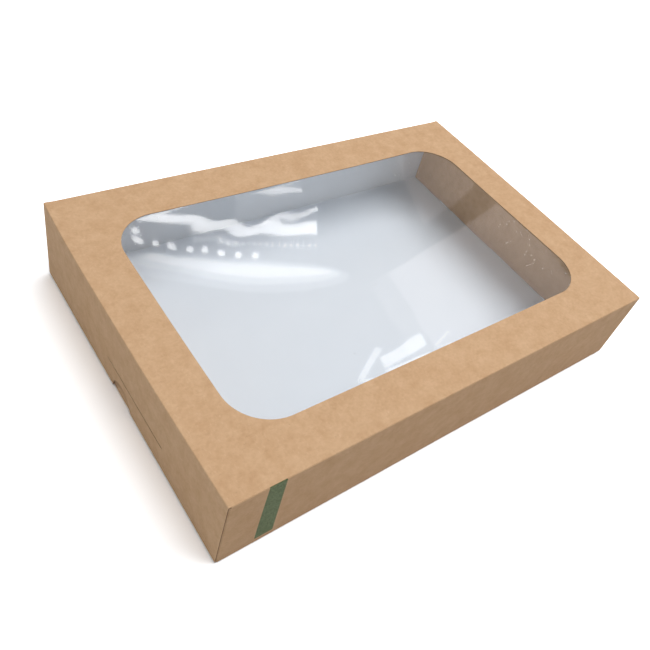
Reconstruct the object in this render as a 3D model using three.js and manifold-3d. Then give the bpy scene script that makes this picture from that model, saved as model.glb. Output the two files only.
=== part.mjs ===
// A grazing box folded from board: a tray with rolled end walls, and a window lid
// of full depth that is hinged along the top of the tray's back wall.
// Millimetres. +X runs along the front, +Y goes to the back and +Z is up.
// The origin is the middle of the base, on the surface that the box stands on.

import * as THREE from 'three';
import { mergeVertices } from 'three/addons/utils/BufferGeometryUtils.js';
import Module from 'manifold-3d';

// Outside size of the closed box
const boxLength = 450;
const boxDepth = 310;
const boxHeight = 80;

// The board, the inside radius of its folds, and the room between plies that lie face to face
const board = 0.6;
const creaseRadius = 0.5;
const plyGap = 0.4;

// The lid rests just over the walls, and its flaps end just over the table
const lidGap = 0.3;
const flapLift = 1;

// Window in the lid, and the clear film glued under it
const windowLength = 374;
const windowDepth = 229;
const windowRadius = 37;
const filmLap = 12;
const filmThickness = 0.2;
const glueLine = 0.1;

// Thumb notch and lock slit in each end flap, and the ears folded in behind the end flaps
const notchRadius = 15.5;
const slitLength = 94;
const slitWidth = 0.6;
const slitHeight = 27.5;
const slitForward = 23;
const seamWidth = 0.5;
const earLength = 80;
const earTaper = 14;

// Tabs held inside the rolled end walls, and the tongues that lock those walls into the base
const tabLength = 70;
const tabTaper = 10;
const tongueLength = 40;
const tongueSpacing = 170;
const tongueClearance = 0.4;

// How finely folds and rounded cuts are drawn, in steps for a quarter turn
const foldSteps = 4;
const curveSteps = 12;

// Places that follow from the sizes above. Each face is the outer one of its ply.
const foldRadius = board + creaseRadius;
const plyPitch = board + plyGap;
const flapFace = boxLength / 2;
const earFace = flapFace - plyPitch;
const endWallFace = earFace - plyPitch;
const tabFace = endWallFace - plyPitch;
const rolledFace = tabFace - plyPitch - board;
const lidFront = -boxDepth / 2;
const wallFront = lidFront + plyPitch;
const wallBack = boxDepth / 2;
const wallTop = boxHeight - board - lidGap;
const tabTop = wallTop - plyPitch;

const kraft = { color: 0xc9a47c, roughness: 0.85, metalness: 0 };
const clearFilm = { color: 0xe8edf2, roughness: 0.08, metalness: 0, transparent: true, opacity: 0.25 };

const wasm = await Module();
wasm.setup();

// Turn a closed three.js geometry into a solid that can be joined and cut
function toSolid(geometry) {
  geometry.deleteAttribute('normal');
  geometry.deleteAttribute('uv');
  const merged = mergeVertices(geometry);
  return new wasm.Manifold(new wasm.Mesh({
    numProp: 3,
    vertProperties: new Float32Array(merged.attributes.position.array),
    triVerts: new Uint32Array(merged.index.array),
  }));
}

function toMesh(name, solid, look) {
  const { vertProperties, triVerts } = solid.getMesh();
  const geometry = new THREE.BufferGeometry();
  geometry.setAttribute('position', new THREE.BufferAttribute(vertProperties, 3));
  geometry.setIndex(new THREE.BufferAttribute(triVerts, 1));
  geometry.computeVertexNormals();
  const mesh = new THREE.Mesh(geometry, new THREE.MeshStandardMaterial(look));
  mesh.name = name;
  return mesh;
}

const join = (...solids) => solids.reduce((whole, piece) => whole.add(piece));
const cut = (...solids) => solids.reduce((whole, piece) => whole.subtract(piece));

const point = (x, y) => new THREE.Vector2(x, y);
const xAxis = new THREE.Vector3(1, 0, 0);
const yAxis = new THREE.Vector3(0, 1, 0);
const zAxis = new THREE.Vector3(0, 0, 1);
const toFront = yAxis.clone().negate();

// Extrude a flat shape over a span of one axis, with the shape's own axes along across and up
function sweep(shape, across, up, along, start, length) {
  const settings = { depth: length, bevelEnabled: false, curveSegments: curveSteps };
  const geometry = new THREE.ExtrudeGeometry(shape, settings);
  geometry.translate(0, 0, start);
  return toSolid(geometry.applyMatrix4(new THREE.Matrix4().makeBasis(across, up, along)));
}

// Shapes seen from the end, from the front and from above
const sweepX = (shape, from, to) => sweep(shape, yAxis, zAxis, xAxis, from, to - from);
const sweepY = (shape, from, to) => sweep(shape, xAxis, zAxis, toFront, -to, to - from);
const sweepZ = (shape, from, to) => sweep(shape, xAxis, yAxis, zAxis, from, to - from);

// A path of straight runs with square corners, each corner rounded to an arc
function roundedPath(corners, radius) {
  const path = [corners[0]];
  for (let i = 1; i < corners.length - 1; i += 1) {
    const back = corners[i - 1].clone().sub(corners[i]).normalize();
    const ahead = corners[i + 1].clone().sub(corners[i]).normalize();
    const centre = corners[i].clone().addScaledVector(back, radius).addScaledVector(ahead, radius);
    for (let step = 0; step <= foldSteps; step += 1) {
      const angle = (step / foldSteps) * (Math.PI / 2);
      const turned = centre.clone().addScaledVector(ahead, -radius * Math.cos(angle));
      path.push(turned.addScaledVector(back, -radius * Math.sin(angle)));
    }
  }
  path.push(corners[corners.length - 1]);
  return path;
}

// The section of folded board. The corners follow its outer face, with the inside on the left.
function foldedSection(corners) {
  const inward = [];
  for (let i = 1; i < corners.length; i += 1) {
    const run = corners[i].clone().sub(corners[i - 1]).normalize();
    inward.push(point(-run.y, run.x).multiplyScalar(board));
  }
  const inside = corners.map((corner, i) => {
    const moved = corner.clone();
    if (i > 0) moved.add(inward[i - 1]);
    if (i < inward.length) moved.add(inward[i]);
    return moved;
  });
  return new THREE.Shape([
    ...roundedPath(corners, foldRadius),
    ...roundedPath(inside, creaseRadius).reverse(),
  ]);
}

// A wall with a tab folded back at each end, seen from above. Its tabs run to the back
// where reach is positive and to the front where it is negative.
function tabbedSection(outerX, outerY, reach) {
  const side = Math.sign(reach);
  return foldedSection([
    point(-outerX * side, outerY + reach),
    point(-outerX * side, outerY),
    point(outerX * side, outerY),
    point(outerX * side, outerY + reach),
  ]);
}

function rectangle(left, right, bottom, top) {
  return new THREE.Shape([
    point(left, bottom),
    point(right, bottom),
    point(right, top),
    point(left, top),
  ]);
}

function roundedRectangle(length, depth, radius) {
  const x = length / 2 - radius;
  const y = depth / 2 - radius;
  const quarter = Math.PI / 2;
  const shape = new THREE.Shape();
  [[x, y], [-x, y], [-x, -y], [x, -y]].forEach(([centreX, centreY], i) => {
    shape.absarc(centreX, centreY, radius, i * quarter, (i + 1) * quarter, false);
  });
  return shape;
}

// The same solid at both ends of the box, for a ply whose outer face is at outerX
function atBothEnds(shape, outerX) {
  const room = plyGap / 2;
  const inner = outerX - board - room;
  return [sweepX(shape, inner, outerX + room), sweepX(shape, -outerX - room, -inner)];
}

// What is cut off the free end of a tab, so that its lower edge rises towards its tip
function taperCut(outerY, reach, taper, lowEdge) {
  const tip = outerY + reach;
  const root = tip - Math.sign(reach) * taper;
  const past = tip + Math.sign(reach) * board;
  const shape = new THREE.Shape([point(root, lowEdge), point(past, lowEdge), point(past, lowEdge + taper * 2)]);
  return shape;
}

// Tongues under the inner ply of each end wall, or the slots in the base that take them
function tongues(clearance, bottom, top) {
  const reach = tongueLength / 2 + clearance;
  const solids = [];
  for (const end of [-1, 1]) {
    const ply = end * (rolledFace + board / 2);
    for (const side of [-1, 1]) {
      const middle = (side * tongueSpacing) / 2;
      const half = board / 2 + clearance;
      const shape = rectangle(ply - half, ply + half, middle - reach, middle + reach);
      solids.push(sweepZ(shape, bottom, top));
    }
  }
  return solids;
}

function buildTray() {
  // Front wall, base and back wall are one run of board
  const flatWall = tabFace - foldRadius;
  const channel = sweepX(foldedSection([
    point(wallFront, wallTop),
    point(wallFront, 0),
    point(wallBack, 0),
    point(wallBack, wallTop),
  ]), -flatWall, flatWall);

  // Each end wall goes up the outside, over the top and down again on the inside
  const rolledEnds = sweepY(foldedSection([
    point(-rolledFace, plyPitch),
    point(-rolledFace, wallTop),
    point(-endWallFace, wallTop),
    point(-endWallFace, 0),
    point(endWallFace, 0),
    point(endWallFace, wallTop),
    point(rolledFace, wallTop),
    point(rolledFace, plyPitch),
  ]), wallFront + foldRadius, wallBack - foldRadius);

  // Tabs fold in from the front and back walls, between the plies of the end walls
  const frontTabs = sweepZ(tabbedSection(tabFace, wallFront, tabLength), foldRadius, tabTop);
  const backTabs = sweepZ(tabbedSection(tabFace, wallBack, -tabLength), foldRadius, tabTop);
  const tapers = [
    ...atBothEnds(taperCut(wallFront, tabLength, tabTaper, board + plyGap / 2), tabFace),
    ...atBothEnds(taperCut(wallBack, -tabLength, tabTaper, board + plyGap / 2), tabFace),
  ];

  const slots = tongues(tongueClearance, -board, board + plyGap / 2);
  const folded = cut(join(channel, rolledEnds, frontTabs, backTabs), ...tapers, ...slots);
  return toMesh('tray', join(folded, ...tongues(0, 0, foldRadius + board)), kraft);
}

function buildLid() {
  // Top panel and front flap are one run of board
  const flatFront = earFace - foldRadius;
  const front = sweepX(foldedSection([
    point(wallBack, boxHeight),
    point(lidFront, boxHeight),
    point(lidFront, flapLift),
  ]), -flatFront, flatFront);

  // Top panel and end flaps, which leave an open seam at the front corners
  const ends = sweepY(foldedSection([
    point(flapFace, flapLift),
    point(flapFace, boxHeight),
    point(-flapFace, boxHeight),
    point(-flapFace, flapLift),
  ]), lidFront + seamWidth, wallBack);

  // The front flap's ears fold back behind the end flaps
  const ears = sweepZ(tabbedSection(earFace, lidFront, earLength), flapLift, boxHeight - foldRadius);
  const tapers = atBothEnds(taperCut(lidFront, earLength, earTaper, 0), earFace);

  const opening = sweepZ(
    roundedRectangle(windowLength, windowDepth, windowRadius),
    boxHeight - board * 2,
    boxHeight + board,
  );
  const notch = new THREE.Shape().absarc(0, flapLift, notchRadius, 0, Math.PI * 2, false);
  const slit = rectangle(
    -slitForward - slitLength / 2,
    -slitForward + slitLength / 2,
    slitHeight - slitWidth / 2,
    slitHeight + slitWidth / 2,
  );
  const flapCuts = [...atBothEnds(notch, flapFace), ...atBothEnds(slit, flapFace)];
  return toMesh('lid', cut(join(front, ends, ears), opening, ...tapers, ...flapCuts), kraft);
}

function buildFilm() {
  const shape = rectangle(
    -windowLength / 2 - filmLap,
    windowLength / 2 + filmLap,
    -windowDepth / 2 - filmLap,
    windowDepth / 2 + filmLap,
  );
  const filmTop = boxHeight - board - glueLine;
  return toMesh('window_film', sweepZ(shape, filmTop - filmThickness, filmTop), clearFilm);
}

// The lid and its film turn on the top fold of the back wall: a negative rotation.x opens them
const hinge = new THREE.Group();
hinge.position.set(0, wallBack, boxHeight);
for (const piece of [buildLid(), buildFilm()]) {
  piece.position.sub(hinge.position);
  hinge.add(piece);
}

const group = new THREE.Group();
group.add(buildTray(), hinge);

export default group;
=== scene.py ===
"""The looks of a grazing box: kraft board outside, white inside, with a clear film in its lid.

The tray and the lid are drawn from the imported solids, cut into small faces, and settled:
their panels bow and sag a little, as folded board does. All lengths are in metres.
"""

import math

import bmesh
import bpy
from mathutils import Matrix, Vector, noise
from mathutils.bvhtree import BVHTree


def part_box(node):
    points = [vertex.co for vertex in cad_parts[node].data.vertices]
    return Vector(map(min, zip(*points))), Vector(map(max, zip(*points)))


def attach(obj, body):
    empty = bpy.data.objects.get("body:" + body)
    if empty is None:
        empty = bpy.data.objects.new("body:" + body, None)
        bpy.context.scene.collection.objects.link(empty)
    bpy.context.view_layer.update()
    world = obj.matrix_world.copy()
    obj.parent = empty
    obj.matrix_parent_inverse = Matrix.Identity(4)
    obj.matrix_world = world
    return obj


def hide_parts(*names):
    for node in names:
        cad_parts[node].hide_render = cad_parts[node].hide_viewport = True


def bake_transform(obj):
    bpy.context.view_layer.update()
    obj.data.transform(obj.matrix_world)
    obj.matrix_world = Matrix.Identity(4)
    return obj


MM = 0.001

# Board: its thickness, how far inside the tray's ends its inner walls lie, and the size of the
# faces that it is cut into before it is bowed
BOARD = 0.6 * MM
INNER_WALL_NEAR = 1.4 * MM
INNER_WALL_FAR = 2.8 * MM
SLICE = 12 * MM

# Points of a mesh that are nearer than this are joined, before and after its folds are trimmed
SAME_POINT = 0.001 * MM
SAME_TRIMMED_POINT = 0.02 * MM

# How far the board departs from flat: sag of the lid, bow of its ends, and small waves
LID_SAG = 4.0 * MM
BACK_SAG_SHARE = 0.35
LEFT_BOW = 2.3 * MM
LEFT_BOW_PEAK = 55 * MM
RIGHT_BOW = 0.8 * MM
WAVE = 0.35 * MM
WAVE_LENGTH = 90 * MM

# Thumb notch in each end flap, the rim of its cut, how far the tray's wall bulges into it, and
# how dark the rim and that wall are painted, as painted shade along the cut and under the flap
NOTCH_RADIUS = 15.5 * MM
NOTCH_RIM = 1.2 * MM
NOTCH_BULGE = 1.2 * MM
NOTCH_RIM_SHADE = 0.75
NOTCH_WALL_SHADE = 0.55

# Board down to the first depth from the box's end is the flap, and from there to the second
# the tray's wall
FLAP_DEPTH = 0.45 * MM
WALL_DEPTH = 2 * MM

# Slit in each end flap: its height, and how far its lips stand apart
SLIT_HEIGHT = 27.5 * MM
SLIT_REACH = 0.5 * MM
LIP = 0.2 * MM

# Fold between the back wall and the lid
CREASE_RADIUS = 1.1 * MM
CREASE_STEPS = 6

# Printed band on the front flap, and the teeth of its edges
BAND_LEFT = -194.8 * MM
BAND_RIGHT = -178.8 * MM
BAND_FOOT = 6.5 * MM
TOOTH_PITCH = 3.0 * MM
TOOTH_DEPTH = 0.7 * MM
TOOTH_BLUR = 0.1 * MM

# Clear film: its glued border, the size of its grid, the width over which the border holds it
# flat, and how much less than the lid its middle sags
FILM_LAP = 12 * MM
FILM_GRID = 2.5 * MM
FILM_HOLD = 30 * MM
FILM_LIFT = 2.4 * MM

# Share of light that each side of the film mirrors, seen straight on and at a grazing angle
FILM_GLOSS = 0.04
FILM_EDGE_GLOSS = 0.4
FILM_ROUGHNESS = 0.035
FILM_TINT = (0.99, 0.993, 0.997, 1)

# Pull lines that fan out from the film's back left corner: their height, how far outside the
# film they start, how far they reach, how close together they lie, and where the first one is
PULL = 0.05 * MM
PULL_ROOT = 30 * MM
PULL_REACH = 150 * MM
PULL_RATE = 8
PULL_START = 2.2

# Small rolls near the film's back, and folds near its front: height, middle and reach
ROLL = 0.055 * MM
ROLL_MIDDLE = (-70 * MM, 84 * MM)
ROLL_REACH = (80 * MM, 22 * MM)
FOLD = 0.02 * MM
FOLD_MIDDLE = (-25 * MM, -92 * MM)
FOLD_REACH = (60 * MM, 22 * MM)

# Kraft paper, darker and paler: broad clouds, blotches, flecks and two kinds of fibre
KRAFT_CLOUDS = ((0.625, 0.382, 0.208, 1), (0.645, 0.415, 0.241, 1))
KRAFT_BLOTCHES = ((0.555, 0.331, 0.177, 1), (0.725, 0.485, 0.293, 1))
KRAFT_FLECKS = ((0.540, 0.331, 0.184, 1), (0.720, 0.480, 0.285, 1))
DARK_FIBRE = (0.420, 0.250, 0.138, 1)
PALE_FIBRE = (0.780, 0.557, 0.359, 1)

# White side, cut edges and printed band, darker and paler, and two plain colours: the brown of the
# painted shade at the thumb notches, and the white of dust
COATED_WHITE = ((0.862, 0.905, 0.952, 1), (0.88, 0.92, 0.965, 1))
CUT_BOARD = ((0.27, 0.155, 0.095, 1), (0.42, 0.27, 0.17, 1))
BAND_GREEN = ((0.058, 0.085, 0.026, 1), (0.150, 0.194, 0.088, 1))
NOTCH_SHADE_BROWN = (0.26, 0.135, 0.08, 1)
DUST_WHITE = (0.9, 0.9, 0.9, 1)

# Floor: its colour as it lights the box, and as it is seen
FLOOR_COLOR = (0.48, 0.48, 0.48, 1)
FLOOR_SEEN = (1.75, 1.78, 1.82, 1)
FLOOR_RADIUS = 2.2
FLOOR_SIDES = 96
FLOOR_DROP = 0.2 * MM

# Brightness of the studio's walls: as they light the box, and as they are seen. They are
# seen white near the floor, and darker between these two sines of the angle above it.
WORLD_LIGHT = 0.285
WORLD_SEEN = 1.0
WORLD_SEEN_ABOVE = 0.4
WORLD_FADE_LOW = 0.38
WORLD_FADE_HIGH = 0.49

# Colours of the lamps
COOL = (0.9, 0.97, 1.0)
WARM = (1.0, 0.9, 0.88)
WHITE = (1, 1, 1)

# Points of the box that lamps are aimed at
BOX_MIDDLE = (0, 0, 0.05)
FILM_LEFT = (-0.1, 0, 0.077)
FILM_RIGHT = (0.080, -0.045, 0.078)

# Camera, in the frame of the box, with its roll in degrees
CAMERA_PLACE = Vector((-346.5, -304.1, 463.6)) * MM
CAMERA_AIM = Vector((-66.6, -61.8, 80.0)) * MM
CAMERA_ROLL = 18.4
CAMERA_LENS = 37.23
CAMERA_SENSOR = 36
CAMERA_SHIFT_X = -0.0308
CAMERA_NEAR = 0.01

X_AXIS = Vector((1, 0, 0))
Z_AXIS = Vector((0, 0, 1))

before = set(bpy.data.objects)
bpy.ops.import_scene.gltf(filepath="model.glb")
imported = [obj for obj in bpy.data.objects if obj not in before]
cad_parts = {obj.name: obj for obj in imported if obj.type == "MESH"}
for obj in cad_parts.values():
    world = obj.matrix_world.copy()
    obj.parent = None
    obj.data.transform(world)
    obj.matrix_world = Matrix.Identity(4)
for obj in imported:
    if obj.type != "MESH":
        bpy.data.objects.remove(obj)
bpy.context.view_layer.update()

lid_high = Vector(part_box("lid")[1])
tray_high = Vector(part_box("tray")[1])
film_low, film_high = (Vector(corner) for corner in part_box("window_film"))
HALF_LENGTH = lid_high.x
HALF_DEPTH = lid_high.y
HEIGHT = lid_high.z


def hump(value, middle, width):
    """A smooth hill, 1 high at its middle."""
    return math.exp(-(((value - middle) / width) ** 2))


def settled(point):
    """Where a point of the straight box lies once its board has bowed and sagged."""
    side = point.x / HALF_LENGTH
    back = point.y / HALF_DEPTH
    height = max(0.0, min(1.0, point.z / HEIGHT))

    if side < 0:
        run = HALF_DEPTH - LEFT_BOW_PEAK if point.y > LEFT_BOW_PEAK else HALF_DEPTH + LEFT_BOW_PEAK
        pull = LEFT_BOW * ((point.y - LEFT_BOW_PEAK) / run) ** 2
    else:
        pull = RIGHT_BOW * back**2
    sag = LID_SAG * (1 - side**2) * (1 - back**2) * (1 + BACK_SAG_SHARE * back)

    # High powers keep each wave to the panels that face its way
    at = point / WAVE_LENGTH
    waves = [0.5 + 0.5 * noise.noise(at + Vector((shift, 0, 0))) for shift in (0, 11, 23)]
    x = point.x - pull * side * height - WAVE * waves[0] * side * abs(side) ** 5 * height
    y = point.y - WAVE * waves[1] * back * abs(back) ** 5
    z = point.z - (sag + WAVE * waves[2]) * height**4
    return Vector((x, y, z))


def new_object(name, data):
    thing = bpy.data.objects.new(name, data)
    bpy.context.scene.collection.objects.link(thing)
    return thing


def object_from(mesh, name, materials):
    """Turns a finished bmesh into an object and frees the bmesh."""
    data = bpy.data.meshes.new(name)
    mesh.to_mesh(data)
    mesh.free()
    for material in materials:
        data.materials.append(material)
    return new_object(name, data)


def smooth_flats(piece):
    """Smooth shading that keeps flat panels flat beside their small round folds."""
    shade = piece.modifiers.new("even_shading", "WEIGHTED_NORMAL")
    shade.keep_sharp = True
    shade.weight = 80


def cut_by_plane(mesh, place, normal):
    everything = mesh.verts[:] + mesh.edges[:] + mesh.faces[:]
    bmesh.ops.bisect_plane(mesh, geom=everything, dist=SAME_POINT, plane_co=place, plane_no=normal)


def slice_mesh(mesh, low, high):
    """Cuts a mesh by evenly spaced planes across each axis."""
    for axis in range(3):
        normal = Vector((0, 0, 0))
        normal[axis] = 1
        count = max(1, round((high[axis] - low[axis]) / SLICE))
        for i in range(1, count):
            place = Vector((0, 0, 0))
            place[axis] = low[axis] + (high[axis] - low[axis]) * i / count
            cut_by_plane(mesh, place, normal)


def cut_band(mesh):
    """Cuts the front flap along the sides and the foot of its printed band."""
    cut_by_plane(mesh, Vector((BAND_LEFT, 0, 0)), X_AXIS)
    cut_by_plane(mesh, Vector((BAND_RIGHT, 0, 0)), X_AXIS)
    cut_by_plane(mesh, Vector((0, 0, BAND_FOOT)), Z_AXIS)


def in_band(centre, normal):
    """True on the printed band of the front flap."""
    on_front = normal.y < -0.3 and centre.y < -HALF_DEPTH + 2 * CREASE_RADIUS
    return on_front and BAND_LEFT < centre.x < BAND_RIGHT and centre.z > BAND_FOOT


def is_cut_edge(face, tree):
    """True if the board is deeper than its own thickness behind this face."""
    start = face.calc_center_median() - face.normal * (0.01 * MM)
    depth = tree.ray_cast(start, -face.normal)[3]
    return depth is None or depth > 1.3 * BOARD


def lid_outside(centre, normal):
    """True on the kraft side of the lid: the side that faces away from the box."""
    return (centre - Vector((0, 0, HEIGHT / 2))).dot(normal) > 0


def tray_outside(centre, normal):
    """True on the kraft side of the tray, which turns inwards where the end walls roll over."""
    rolled = tray_high.x - abs(centre.x)
    on_inner_wall = INNER_WALL_NEAR < rolled < INNER_WALL_FAR and centre.z > 2 * BOARD
    if on_inner_wall and abs(normal.y) < 0.5:
        inwards = -math.copysign(1, centre.x) * normal.x
        return inwards + normal.z > 0
    return (centre - Vector((0, 0, HEIGHT / 2))).dot(normal) > 0


def paint_faces(mesh, node, tree, is_outside):
    """Gives each face its place in the board's materials: kraft, white, cut edge or band."""
    for face in mesh.faces:
        face.smooth = True
        centre = face.calc_center_median()
        if is_cut_edge(face, tree):
            face.material_index = 2
        elif not is_outside(centre, face.normal):
            face.material_index = 1
        elif node == "lid" and in_band(centre, face.normal):
            face.material_index = 3
        else:
            face.material_index = 0


def trim_crease(mesh):
    """Draws the lid's back edge and the back wall's top edge apart, to leave room for the fold."""
    for vertex in mesh.verts:
        place = vertex.co
        if abs(place.x) > tray_high.x - 2 * CREASE_RADIUS:
            continue
        if place.z > HEIGHT - 1.5 * BOARD and place.y > HALF_DEPTH - 0.1 * MM:
            place.y = HALF_DEPTH - CREASE_RADIUS
        elif abs(place.z - tray_high.z) < 0.05 * MM and place.y > HALF_DEPTH - 1.5 * BOARD:
            place.z = HEIGHT - CREASE_RADIUS


def open_slits(mesh):
    """Draws the lips of the slits in the lid's end flaps a little apart."""
    for vertex in mesh.verts:
        away = vertex.co.z - SLIT_HEIGHT
        if abs(away) < SLIT_REACH and abs(vertex.co.x) > HALF_LENGTH - 1.5 * BOARD:
            vertex.co.z += math.copysign(LIP, away)


def fill_notches(mesh):
    """Bulges the outer ply of the tray's end walls towards the thumb notches."""
    for vertex in mesh.verts:
        place = vertex.co
        if tray_high.x - abs(place.x) < 1.2 * BOARD:
            near = hump(place.y, 0, 2 * NOTCH_RADIUS)
            near *= hump(place.z, 0.3 * NOTCH_RADIUS, 1.5 * NOTCH_RADIUS)
            place.x += math.copysign(NOTCH_BULGE * near, place.x)


def board_piece(name, node, body, is_outside, materials):
    """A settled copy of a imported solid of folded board, in the board's own materials."""
    mesh = bmesh.new()
    mesh.from_mesh(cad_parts[node].data)
    bmesh.ops.remove_doubles(mesh, verts=mesh.verts, dist=SAME_POINT)
    tree = BVHTree.FromBMesh(mesh)
    low, high = (Vector(corner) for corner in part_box(node))
    slice_mesh(mesh, low, high)
    if node == "lid":
        cut_band(mesh)
    mesh.normal_update()
    for edge in mesh.edges:
        edge.smooth = len(edge.link_faces) == 2 and edge.calc_face_angle() < math.radians(30)
    paint_faces(mesh, node, tree, is_outside)

    trim_crease(mesh)
    if node == "lid":
        open_slits(mesh)
    else:
        fill_notches(mesh)
    bmesh.ops.remove_doubles(mesh, verts=mesh.verts, dist=SAME_TRIMMED_POINT)
    for vertex in mesh.verts:
        vertex.co = settled(vertex.co)

    piece = object_from(mesh, name, materials)
    smooth_flats(piece)
    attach(piece, body)
    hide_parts(node)


def build_crease(outside, inside):
    """The round fold between the back wall and the lid."""
    reach = tray_high.x - 2 * CREASE_RADIUS
    centre = Vector((0, HALF_DEPTH - CREASE_RADIUS, HEIGHT - CREASE_RADIUS))
    columns = round(2 * reach / SLICE)
    mesh = bmesh.new()
    rings = []
    for i in range(columns + 1):
        x = -reach + 2 * reach * i / columns
        ring = []
        for radius in (CREASE_RADIUS, CREASE_RADIUS - BOARD):
            for step in range(CREASE_STEPS + 1):
                angle = step / CREASE_STEPS * math.pi / 2
                place = centre + Vector((x, radius * math.cos(angle), radius * math.sin(angle)))
                ring.append(mesh.verts.new(settled(place)))
        rings.append(ring)

    # From this count on, the points of a ring are its inner arc
    count = CREASE_STEPS + 1
    for left, right in zip(rings, rings[1:]):
        for step in range(CREASE_STEPS):
            outer = mesh.faces.new((left[step], left[step + 1], right[step + 1], right[step]))
            inner = mesh.faces.new(
                (left[count + step], right[count + step], right[count + step + 1], left[count + step + 1])
            )
            inner.material_index = 1
            outer.smooth = inner.smooth = True
        for step in (0, CREASE_STEPS):
            mesh.faces.new((left[step], right[step], right[count + step], left[count + step]))
    for ring in (rings[0], rings[-1]):
        for step in range(CREASE_STEPS):
            mesh.faces.new((ring[step], ring[step + 1], ring[count + step + 1], ring[count + step]))
    bmesh.ops.recalc_face_normals(mesh, faces=mesh.faces)

    piece = object_from(mesh, "back_crease", (outside, inside))
    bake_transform(piece)


class Nodes:
    """A short way to write the nodes of a material or of the world."""

    def __init__(self, owner):
        self.owner = owner
        owner.use_nodes = True
        self.tree = owner.node_tree
        self.tree.nodes.clear()
        self.place = self.add("ShaderNodeTexCoord").outputs["Object"]

    def add(self, kind, **settings):
        node = self.tree.nodes.new(kind)
        for key, value in settings.items():
            setattr(node, key, value)
        return node

    def feed(self, socket, value):
        """Links a socket to another, or sets its own number or colour."""
        if isinstance(value, bpy.types.NodeSocket):
            self.tree.links.new(value, socket)
        else:
            socket.default_value = value

    def axes(self):
        """The three coordinates of the place."""
        node = self.add("ShaderNodeSeparateXYZ")
        self.feed(node.inputs[0], self.place)
        return node.outputs

    def math(self, operation, first, second=0.0, clamp=False):
        node = self.add("ShaderNodeMath", operation=operation, use_clamp=clamp)
        self.feed(node.inputs[0], first)
        self.feed(node.inputs[1], second)
        return node.outputs[0]

    def spread(self, value, low, high, out_low=0.0, out_high=1.0):
        """Maps low to high onto another range, held at its ends."""
        node = self.add("ShaderNodeMapRange")
        for socket, number in zip(node.inputs, (value, low, high, out_low, out_high)):
            self.feed(socket, number)
        return node.outputs[0]

    def stretched(self, x, y, z):
        node = self.add("ShaderNodeMapping")
        self.feed(node.inputs["Vector"], self.place)
        node.inputs["Scale"].default_value = (x, y, z)
        return node.outputs[0]

    def noise(self, scale, detail=3.0, vector=None, roughness=0.55):
        """Noise from 0 to 1, with this many features to a metre."""
        node = self.add("ShaderNodeTexNoise")
        self.feed(node.inputs["Vector"], vector or self.place)
        node.inputs["Scale"].default_value = scale
        node.inputs["Detail"].default_value = detail
        node.inputs["Roughness"].default_value = roughness
        return node.outputs["Fac"]

    def mix(self, share, first, second):
        node = self.add("ShaderNodeMix", data_type="RGBA")
        self.feed(node.inputs["Factor"], share)
        self.feed(node.inputs["A"], first)
        self.feed(node.inputs["B"], second)
        return node.outputs["Result"]

    def mix_shaders(self, share, first, second):
        node = self.add("ShaderNodeMixShader")
        for socket, value in zip(node.inputs, (share, first, second)):
            self.feed(socket, value)
        return node.outputs[0]

    def diffuse(self, color):
        node = self.add("ShaderNodeBsdfDiffuse")
        node.inputs["Color"].default_value = color
        return node.outputs[0]

    def bump(self, height, distance, strength):
        node = self.add("ShaderNodeBump")
        node.inputs["Distance"].default_value = distance
        node.inputs["Strength"].default_value = strength
        self.feed(node.inputs["Height"], height)
        return node.outputs["Normal"]

    def principled(self, color, roughness, specular, normal=None):
        node = self.add("ShaderNodeBsdfPrincipled")
        self.feed(node.inputs["Base Color"], color)
        node.inputs["Roughness"].default_value = roughness
        node.inputs["Specular IOR Level"].default_value = specular
        if normal:
            self.feed(node.inputs["Normal"], normal)
        return node.outputs[0]

    def finish(self, shader, output="ShaderNodeOutputMaterial"):
        self.feed(self.add(output).inputs["Surface"], shader)
        return self.owner


def new_material(name):
    return Nodes(bpy.data.materials.new(name))


def paper_grain(nodes):
    """The fine tooth of uncoated paper."""
    return nodes.bump(nodes.noise(1400, detail=3), distance=0.05 * MM, strength=0.5)


def kraft_color(nodes):
    """Brown kraft paper: cloudy and blotched, with pale and dark fibres."""
    clouds = nodes.spread(nodes.noise(13, detail=2), 0.35, 0.65)
    color = nodes.mix(clouds, *KRAFT_CLOUDS)
    blotches = nodes.spread(nodes.noise(95, detail=4, roughness=0.62), 0.3, 0.7)
    color = nodes.mix(0.75, color, nodes.mix(blotches, *KRAFT_BLOTCHES))
    flecks = nodes.spread(nodes.noise(420, detail=3), 0.3, 0.7)
    color = nodes.mix(0.3, color, nodes.mix(flecks, *KRAFT_FLECKS))

    # Fibres are noise drawn out along the box's length, or along its depth
    along = nodes.noise(1.0, detail=2, vector=nodes.stretched(260, 1500, 900))
    color = nodes.mix(nodes.spread(along, 0.64, 0.76, 0.0, 0.4), color, DARK_FIBRE)
    across = nodes.noise(1.0, detail=2, vector=nodes.stretched(1500, 300, 900))
    return nodes.mix(nodes.spread(across, 0.62, 0.75, 0.0, 0.4), color, PALE_FIBRE)


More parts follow.
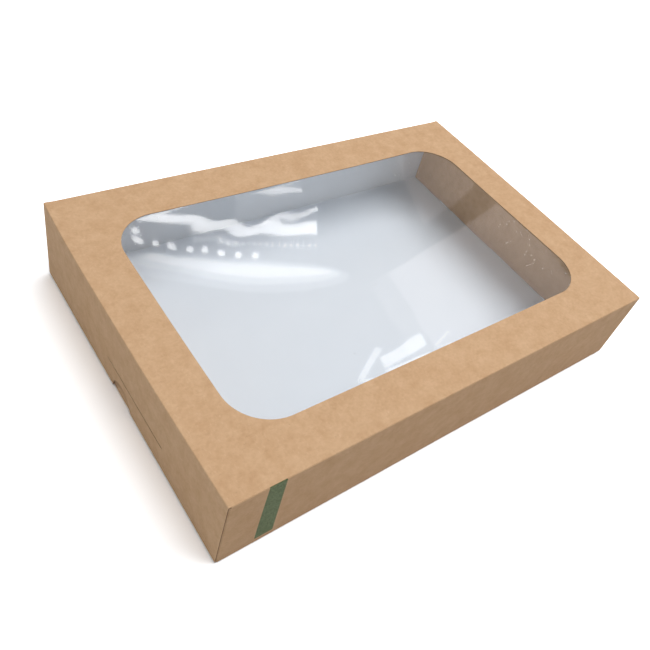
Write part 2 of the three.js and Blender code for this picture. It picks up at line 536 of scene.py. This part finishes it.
def notch_painted_shade(nodes):
    """How dark the board is painted at a thumb notch, as painted shade: along the flap's cut rim, and on
    the tray's wall beneath it.
    """
    x, y, z = nodes.axes()
    y_squared = nodes.math("POWER", nodes.math("ABSOLUTE", y), 2.0)
    z_squared = nodes.math("POWER", nodes.math("ABSOLUTE", z), 2.0)
    reach = nodes.math("SQRT", nodes.math("ADD", y_squared, z_squared))
    side = nodes.math("ABSOLUTE", x)
    on_flap = nodes.math("GREATER_THAN", side, HALF_LENGTH - FLAP_DEPTH)
    on_either = nodes.math("GREATER_THAN", side, HALF_LENGTH - WALL_DEPTH)
    on_wall = nodes.math("SUBTRACT", on_either, on_flap)

    rim_start = NOTCH_RADIUS + 0.4 * NOTCH_RIM
    # Painted shade along the flap's cut rim
    rim_shade = nodes.spread(reach, rim_start, NOTCH_RADIUS + NOTCH_RIM, NOTCH_RIM_SHADE, 0.0)
    # Painted shadow of the flap on the tray's wall beneath the notch
    wall_shade = nodes.spread(reach, 0.6 * NOTCH_RADIUS, 0.8 * NOTCH_RADIUS, 0.0, NOTCH_WALL_SHADE)
    wall_shade = nodes.math("MULTIPLY", wall_shade, nodes.math("LESS_THAN", reach, 1.2 * NOTCH_RADIUS))
    rim_shade = nodes.math("MULTIPLY", rim_shade, on_flap)
    return nodes.math("ADD", rim_shade, nodes.math("MULTIPLY", wall_shade, on_wall), clamp=True)


def make_kraft():
    nodes = new_material("kraft")
    # The thumb notches are painted darker brown, as shade
    color = nodes.mix(notch_painted_shade(nodes), kraft_color(nodes), NOTCH_SHADE_BROWN)
    return nodes.finish(nodes.principled(color, 0.8, specular=0.25, normal=paper_grain(nodes)))


def make_coated():
    """White coated side, faintly blue."""
    nodes = new_material("coated_white")
    clouds = nodes.spread(nodes.noise(30, detail=3), 0.3, 0.7)
    color = nodes.mix(clouds, *COATED_WHITE)
    grain = nodes.bump(nodes.noise(900, detail=2), distance=0.03 * MM, strength=0.4)
    return nodes.finish(nodes.principled(color, 0.6, specular=0.3, normal=grain))


def make_cut_board():
    nodes = new_material("cut_edge")
    color = nodes.mix(nodes.noise(1200, detail=2), *CUT_BOARD)
    return nodes.finish(nodes.principled(color, 0.9, specular=0.2))


def make_band():
    """Dark green print with a fine woven speckle and toothed edges."""
    nodes = new_material("green_print")
    weave = nodes.noise(1.0, detail=1, vector=nodes.stretched(700, 700, 1300))
    color = nodes.mix(nodes.spread(weave, 0.38, 0.68), *BAND_GREEN)

    # The paper shows through where the teeth cut into the band
    x, _, z = nodes.axes()
    tooth = nodes.math("PINGPONG", z, TOOTH_PITCH / 2)
    tooth = nodes.math("MULTIPLY", tooth, 2 * TOOTH_DEPTH / TOOTH_PITCH)
    middle = (BAND_LEFT + BAND_RIGHT) / 2
    out = nodes.math("ABSOLUTE", nodes.math("SUBTRACT", x, middle))
    edge = (BAND_RIGHT - BAND_LEFT) / 2
    paper = nodes.spread(nodes.math("ADD", out, tooth), edge - TOOTH_BLUR, edge + TOOTH_BLUR)
    color = nodes.mix(paper, color, kraft_color(nodes))
    return nodes.finish(nodes.principled(color, 0.7, specular=0.3, normal=paper_grain(nodes)))


def make_film():
    """Clear film: see-through, with a gloss that grows towards a grazing view."""
    nodes = new_material("clear_film")
    through = nodes.add("ShaderNodeBsdfTransparent")
    through.inputs["Color"].default_value = FILM_TINT
    gloss = nodes.add("ShaderNodeBsdfGlossy")
    gloss.inputs["Roughness"].default_value = FILM_ROUGHNESS
    facing = nodes.add("ShaderNodeLayerWeight")
    facing.inputs["Blend"].default_value = 0.5
    grazing = nodes.math("POWER", facing.outputs["Facing"], 5.0)
    mirrored = nodes.spread(grazing, 0.0, 1.0, FILM_GLOSS, FILM_EDGE_GLOSS)
    clear = nodes.mix_shaders(mirrored, through.outputs[0], gloss.outputs[0])

    # Specks of dust, in a few clusters
    flat = nodes.stretched(1, 1, 0)
    cells = nodes.add("ShaderNodeTexVoronoi")
    nodes.feed(cells.inputs["Vector"], flat)
    cells.inputs["Scale"].default_value = 330
    chosen = nodes.math("GREATER_THAN", cells.outputs["Color"], 0.62)
    speck = nodes.math("MULTIPLY", chosen, nodes.math("LESS_THAN", cells.outputs["Distance"], 0.13))
    cluster = nodes.spread(nodes.noise(17, detail=1, vector=flat), 0.56, 0.6)
    dust = nodes.math("MULTIPLY", speck, cluster)
    return nodes.finish(nodes.mix_shaders(dust, clear, nodes.diffuse(DUST_WHITE)))


def wrinkle(x, y, slant, length, wander, middle, reach):
    """A patch of even waves, 1 high at most, that fades out round its middle."""
    patch = hump(x, middle[0], reach[0]) * hump(y, middle[1], reach[1])
    return patch * math.sin((x + slant * y) / length + wander)


def film_ripple(x, y, window_x, window_y):
    """How far the film leaves the plane of its glued border."""
    clear = min(window_x - abs(x), window_y - abs(y)) / FILM_HOLD
    if clear <= 0:
        return 0.0
    hold = min(1.0, clear)
    hold = hold * hold * (3 - 2 * hold)
    lift = FILM_LIFT * (1 - (x / window_x) ** 2) * (1 - (y / window_y) ** 2)

    from_left = x + window_x
    from_back = window_y - y
    angle = math.atan2(from_back, from_left + PULL_ROOT)
    pull = math.sin(angle * PULL_RATE + PULL_START)
    pull *= math.exp(-math.hypot(from_left, from_back) / PULL_REACH)

    wander = 1.5 * math.sin(y / (20 * MM))
    roll = wrinkle(x, y, -0.5, 9 * MM, wander, ROLL_MIDDLE, ROLL_REACH)
    wander = 1.2 * math.sin(x / (23 * MM))
    fold = wrinkle(x, y, 1.1, 11 * MM, wander, FOLD_MIDDLE, FOLD_REACH)
    return lift + hold * (PULL * pull + ROLL * roll + FOLD * fold)


def build_film(material):
    columns = round((film_high.x - film_low.x) / FILM_GRID)
    rows = round((film_high.y - film_low.y) / FILM_GRID)
    mesh = bmesh.new()
    grid = []
    for j in range(rows + 1):
        y = film_low.y + (film_high.y - film_low.y) * j / rows
        line = []
        for i in range(columns + 1):
            x = film_low.x + (film_high.x - film_low.x) * i / columns
            place = settled(Vector((x, y, film_high.z)))
            place.z += film_ripple(x, y, film_high.x - FILM_LAP, film_high.y - FILM_LAP)
            line.append(mesh.verts.new(place))
        grid.append(line)
    for lower, upper in zip(grid, grid[1:]):
        for i in range(columns):
            mesh.faces.new((lower[i], lower[i + 1], upper[i + 1], upper[i])).smooth = True

    piece = object_from(mesh, "clear_window", (material,))
    body = piece.modifiers.new("film_thickness", "SOLIDIFY")
    body.thickness = film_high.z - film_low.z
    body.offset = -1
    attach(piece, "lid")
    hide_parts("window_film")


def lit_and_seen(nodes, lit, seen):
    """One shader that lights the box, and another that the camera, gloss and glass see."""
    path = nodes.add("ShaderNodeLightPath")
    direct = nodes.math("ADD", path.outputs["Is Camera Ray"], path.outputs["Is Glossy Ray"])
    direct = nodes.math("ADD", direct, path.outputs["Is Transmission Ray"], clamp=True)
    return nodes.mix_shaders(direct, lit, seen)


def build_floor():
    """A plain pale floor. Where it is seen it is whiter, and it keeps the box's shadow."""
    bpy.ops.mesh.primitive_circle_add(
        vertices=FLOOR_SIDES, radius=FLOOR_RADIUS, fill_type="NGON", location=(0, 0, -FLOOR_DROP)
    )
    floor = bpy.context.object
    floor.name = "floor"
    nodes = new_material("floor_white")
    shader = lit_and_seen(nodes, nodes.diffuse(FLOOR_COLOR), nodes.diffuse(FLOOR_SEEN))
    floor.data.materials.append(nodes.finish(shader))


def build_world():
    """The studio's walls, which are a plain sky to the box."""
    world = bpy.data.worlds.new("studio")
    bpy.context.scene.world = world
    nodes = Nodes(world)
    upwards = nodes.axes()["Z"]
    seen = nodes.spread(upwards, WORLD_FADE_LOW, WORLD_FADE_HIGH, WORLD_SEEN, WORLD_SEEN_ABOVE)
    skies = []
    for strength in (WORLD_LIGHT, seen):
        sky = nodes.add("ShaderNodeBackground")
        sky.inputs["Color"].default_value = (*WHITE, 1)
        nodes.feed(sky.inputs["Strength"], strength)
        skies.append(sky.outputs[0])
    nodes.finish(lit_and_seen(nodes, *skies), "ShaderNodeOutputWorld")


def point_at(thing, place, aim, roll):
    """Puts a lamp or camera at its place, turned to its aim and rolled by some degrees."""
    place = Vector(place)
    turn = (Vector(aim) - place).to_track_quat("-Z", "Y").to_matrix()
    turn = turn @ Matrix.Rotation(math.radians(roll), 3, "Z")
    thing.matrix_world = Matrix.Translation(place) @ turn.to_4x4()


def area_light(name, place, aim, size, brightness, roll=0.0, color=WHITE, is_round=False):
    """A soft lamp, given by its width and height. Where it is mirrored, 1 is as bright as white."""
    light = bpy.data.lights.new(name, "AREA")
    light.shape = "ELLIPSE" if is_round else "RECTANGLE"
    light.size, light.size_y = size
    area = size[0] * size[1] * (math.pi / 4 if is_round else 1)
    light.energy = brightness * math.pi * area
    light.color = color
    lamp = new_object(name, light)
    point_at(lamp, place, aim, roll)
    lamp.visible_camera = False


def bulb_row(name, first, last, count, first_size, last_size, brightness):
    """A row of round lamps from first to last, mirrored in the film."""
    for i in range(count):
        share = i / (count - 1)
        size = first_size + (last_size - first_size) * share
        place = Vector(first).lerp(Vector(last), share)
        area_light(f"{name}_{i}", place, FILM_LEFT, (size, size), brightness, is_round=True)


def light_box():
    """The lamps that light the box: a large one overhead, and a low one for its left end."""
    area_light("softbox", (0.90, -0.40, 3.04), BOX_MIDDLE, size=(2.4, 2.72), brightness=3.8)
    area_light(
        "fill", (-1.6, -0.35, 0.27), BOX_MIDDLE, size=(1.0, 0.5), brightness=2.55, color=COOL
    )


def light_film_left():
    """Strips that are mirrored over the film's back left corner."""
    area_light(
        "strip_wide", (0.74, 1.23, 1.462), FILM_LEFT,
        size=(0.82, 0.140), brightness=0.9, roll=7, is_round=True,
    )
    area_light(
        "strip_middle", (0.74, 1.23, 1.447), FILM_LEFT,
        size=(0.74, 0.095), brightness=1.4, roll=7, is_round=True,
    )
    area_light(
        "strip_narrow", (0.74, 1.23, 1.434), FILM_LEFT,
        size=(0.67, 0.052), brightness=2.0, roll=7, is_round=True,
    )
    area_light(
        "strip_back", (0.74, 1.375, 1.355), FILM_LEFT, size=(0.70, 0.034), brightness=8.0, roll=7
    )
    area_light(
        "strip_branch", (0.975, 1.283, 1.306), (-0.033, 0.071, 0.077),
        size=(0.21, 0.014), brightness=7.0, roll=24,
    )
    area_light(
        "strip_glow", (0.708, 1.348, 1.375), (-0.112, 0.066, 0.077),
        size=(0.165, 0.02), brightness=1.8, roll=6,
    )
    area_light(
        "strip_edge", (0.960, 1.375, 1.268), (-0.02, 0.11, 0.077),
        size=(0.19, 0.018), brightness=5.0, roll=10,
    )


def light_film_right():
    """Cards that are mirrored as a pale haze over the film's right side and its back."""
    area_light(
        "card_right", (1.456, 0.706, 1.307), FILM_RIGHT,
        size=(0.56, 0.42), brightness=0.8, roll=56, color=WARM,
    )
    area_light(
        "card_right_wide", (1.423, 0.716, 1.336), FILM_RIGHT,
        size=(0.65, 0.42), brightness=0.4, roll=56, color=WARM,
    )
    area_light(
        "card_corner", (1.507, 1.095, 1.125), (0.156, 0.057, 0.078),
        size=(0.24, 0.28), brightness=0.75, roll=-40, color=WARM,
    )
    area_light(
        "card_back", (1.113, 1.324, 1.213), (0.035, 0.091, 0.077),
        size=(0.16, 0.62), brightness=0.8, roll=-66,
    )


def light_film_front():
    """Small cards that are mirrored as bright patches at the film's front edge."""
    area_light(
        "patch_left", (1.009, 0.669, 1.574), (-0.071, -0.102, 0.078),
        size=(0.026, 0.138), brightness=2.8, roll=-2,
    )
    area_light(
        "patch_middle", (1.122, 0.632, 1.531), (-0.036, -0.105, 0.078),
        size=(0.052, 0.16), brightness=3.6, roll=-37,
    )
    area_light(
        "patch_right", (1.254, 0.578, 1.478), (0.001, -0.107, 0.078),
        size=(0.014, 0.082), brightness=1.6, roll=-11,
    )


def build_lamps():
    light_box()
    light_film_left()
    light_film_right()
    light_film_front()
    bulb_row(
        "bulb", (0.309, 1.526, 1.417), (0.815, 1.244, 1.390), count=11,
        first_size=0.031, last_size=0.022, brightness=8,
    )
    bulb_row(
        "small_bulb", (0.735, 1.331, 1.374), (1.015, 1.169, 1.342), count=16,
        first_size=0.010, last_size=0.008, brightness=7,
    )


def build_camera():
    data = bpy.data.cameras.new("camera")
    data.lens = CAMERA_LENS
    data.sensor_width = CAMERA_SENSOR
    data.shift_x = CAMERA_SHIFT_X
    data.clip_start = CAMERA_NEAR
    camera = new_object("camera", data)
    point_at(camera, CAMERA_PLACE, CAMERA_AIM, CAMERA_ROLL)
    bpy.context.scene.camera = camera


kraft = make_kraft()
coated = make_coated()
board_materials = (kraft, coated, make_cut_board(), make_band())
board_piece("board_tray", "tray", "tray", tray_outside, board_materials)
board_piece("board_lid", "lid", "lid", lid_outside, board_materials)
build_crease(kraft, coated)
build_film(make_film())
build_floor()
build_world()
build_lamps()
build_camera()

bpy.context.scene.view_settings.view_transform = "Standard"
